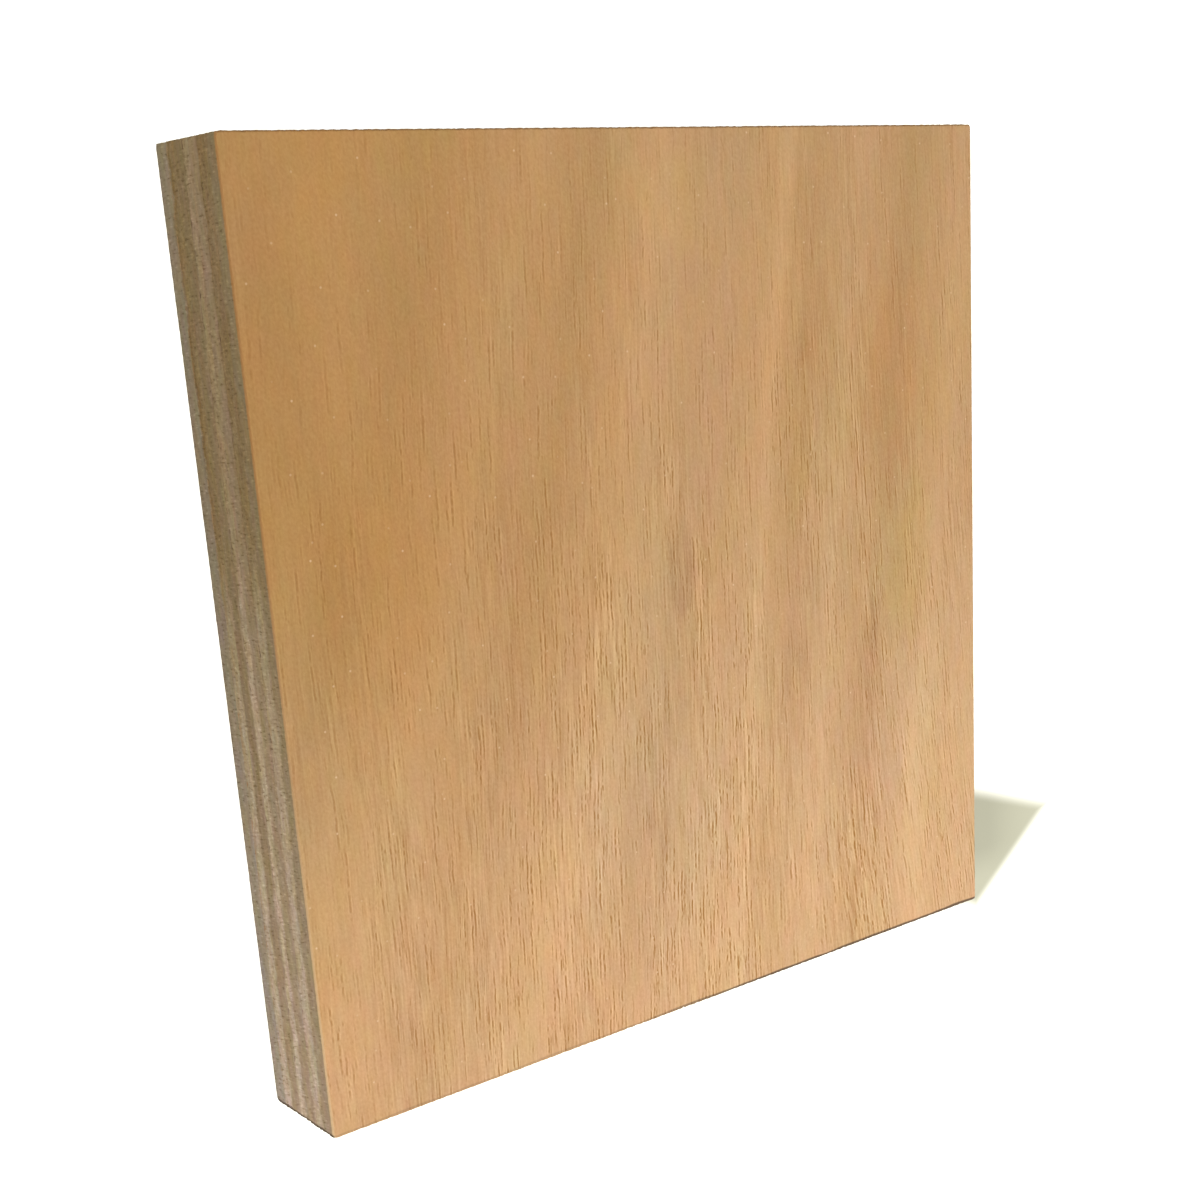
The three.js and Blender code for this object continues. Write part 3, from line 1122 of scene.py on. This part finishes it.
def add_lamp(name, place, size, power):
    """A round soft lamp that looks at the middle of the floor."""
    lamp = bpy.data.lights.new(name, "AREA")
    lamp.shape = "DISK"
    lamp.size = size
    lamp.energy = power
    holder = add_object(name, lamp)
    holder.location = place
    holder.rotation_euler = (-Vector(place)).to_track_quat("-Z", "Y").to_euler()


def shadow_share(graph):
    """1 where the floor keeps the sheet's shadow and is painted darker, and 0 in the open."""
    x, y, _ = graph.split(graph.node("ShaderNodeTexCoord", output="Object"))

    def line(start, slope):
        return start + slope * x

    wedge = graph.math("MINIMUM", line(*SHADOW.top) - y, y - line(*SHADOW.slant))
    beside = graph.math("MINIMUM", SHADOW.far - y, SHADOW.reach - x)
    depth = graph.math("MAXIMUM", wedge, beside)
    depth = graph.math("MINIMUM", depth, y - line(*SHADOW.near))
    depth = graph.math("MINIMUM", depth, x - SHADOW.start)
    return graph.smooth(depth, *SHADOW.fade)


def floor_material(stage):
    """Pale paint that is lifted to white where it is seen, least of all in the shadow, which is
    painted darker.
    """
    material = bpy.data.materials.new("pale_floor")
    material.use_nodes = True
    graph = Graph(material.node_tree)
    shadow = shadow_share(graph)
    shaded = tuple(SHADOW.paint * part for part in stage.floor_colour)
    paint = graph.blend(shadow, stage.floor_colour, shaded)
    paper = graph.node("ShaderNodeBsdfDiffuse", inputs={"Color": paint})
    lift = graph.seen() * graph.lerp(shadow, *SHADOW.lifts)
    glow = graph.node("ShaderNodeEmission", inputs={"Color": WHITE, "Strength": lift})
    both = graph.node("ShaderNodeAddShader", inputs={0: paper, 1: glow})
    graph.node("ShaderNodeOutputMaterial", inputs={"Surface": both})
    return material


def add_floor(stage):
    half = stage.floor_size / 2
    corners = [(-half, -half, 0.0), (half, -half, 0.0), (half, half, 0.0), (-half, half, 0.0)]
    mesh = bpy.data.meshes.new("floor")
    mesh.from_pydata(corners, [], [(0, 1, 2, 3)])
    mesh.materials.append(floor_material(stage))
    floor = add_object("floor", mesh)


def light_sky(stage):
    """An even light from all round, which is white where it is seen."""
    world = bpy.data.worlds.new("pale_sky")
    bpy.context.scene.world = world
    world.use_nodes = True
    graph = Graph(world.node_tree)
    strength = graph.lerp(graph.seen(), stage.sky_strength, 1.0)
    sky = graph.node("ShaderNodeBackground", inputs={"Color": WHITE, "Strength": strength})
    graph.node("ShaderNodeOutputWorld", inputs={"Surface": sky})


class SHEET_OT_stage(bpy.types.Operator):
    """Adds the floor, the lamps, the sky and the camera"""
    bl_idname = "plywood.stage"
    bl_label = "Stage"

    def execute(self, context):
        stage = context.scene.plain_stage
        add_camera(stage)
        add_floor(stage)
        light_sky(stage)
        for name, place, size in LAMPS:
            add_lamp(name, place, size, getattr(stage, name + "_power"))
        context.scene.view_settings.view_transform = "Standard"
        return {"FINISHED"}


# ---- The panel ----

OPERATORS = (
    SHEET_OT_outer_veneers, SHEET_OT_core_veneers, SHEET_OT_cross_veneers, SHEET_OT_stage)
GROUPS = {"sawn_finish": SawnFinish, "wood_colours": WoodColours, "plain_stage": PlainStage}


class SHEET_PT_panel(bpy.types.Panel):
    """Lists the sheet's operators and settings"""
    bl_idname = "SHEET_PT_panel"
    bl_label = "Plywood sheet"
    bl_space_type = "VIEW_3D"
    bl_region_type = "UI"
    bl_category = "Plywood"

    def draw(self, context):
        for operator in OPERATORS:
            self.layout.operator(operator.bl_idname)
        for name, group in GROUPS.items():
            box = self.layout.box()
            for setting in group.__annotations__:
                box.prop(getattr(context.scene, name), setting)


CLASSES = (*GROUPS.values(), *OPERATORS, SHEET_PT_panel)


def register():
    for cls in CLASSES:
        bpy.utils.register_class(cls)
    for name, group in GROUPS.items():
        setattr(bpy.types.Scene, name, PointerProperty(type=group))


def unregister():
    for name in GROUPS:
        delattr(bpy.types.Scene, name)
    for cls in reversed(CLASSES):
        bpy.utils.unregister_class(cls)


def main():
    register()
    bpy.ops.plywood.outer_veneers()
    bpy.ops.plywood.core_veneers()
    bpy.ops.plywood.cross_veneers()
    bpy.ops.plywood.stage()


if __name__ == "__main__":
    main()
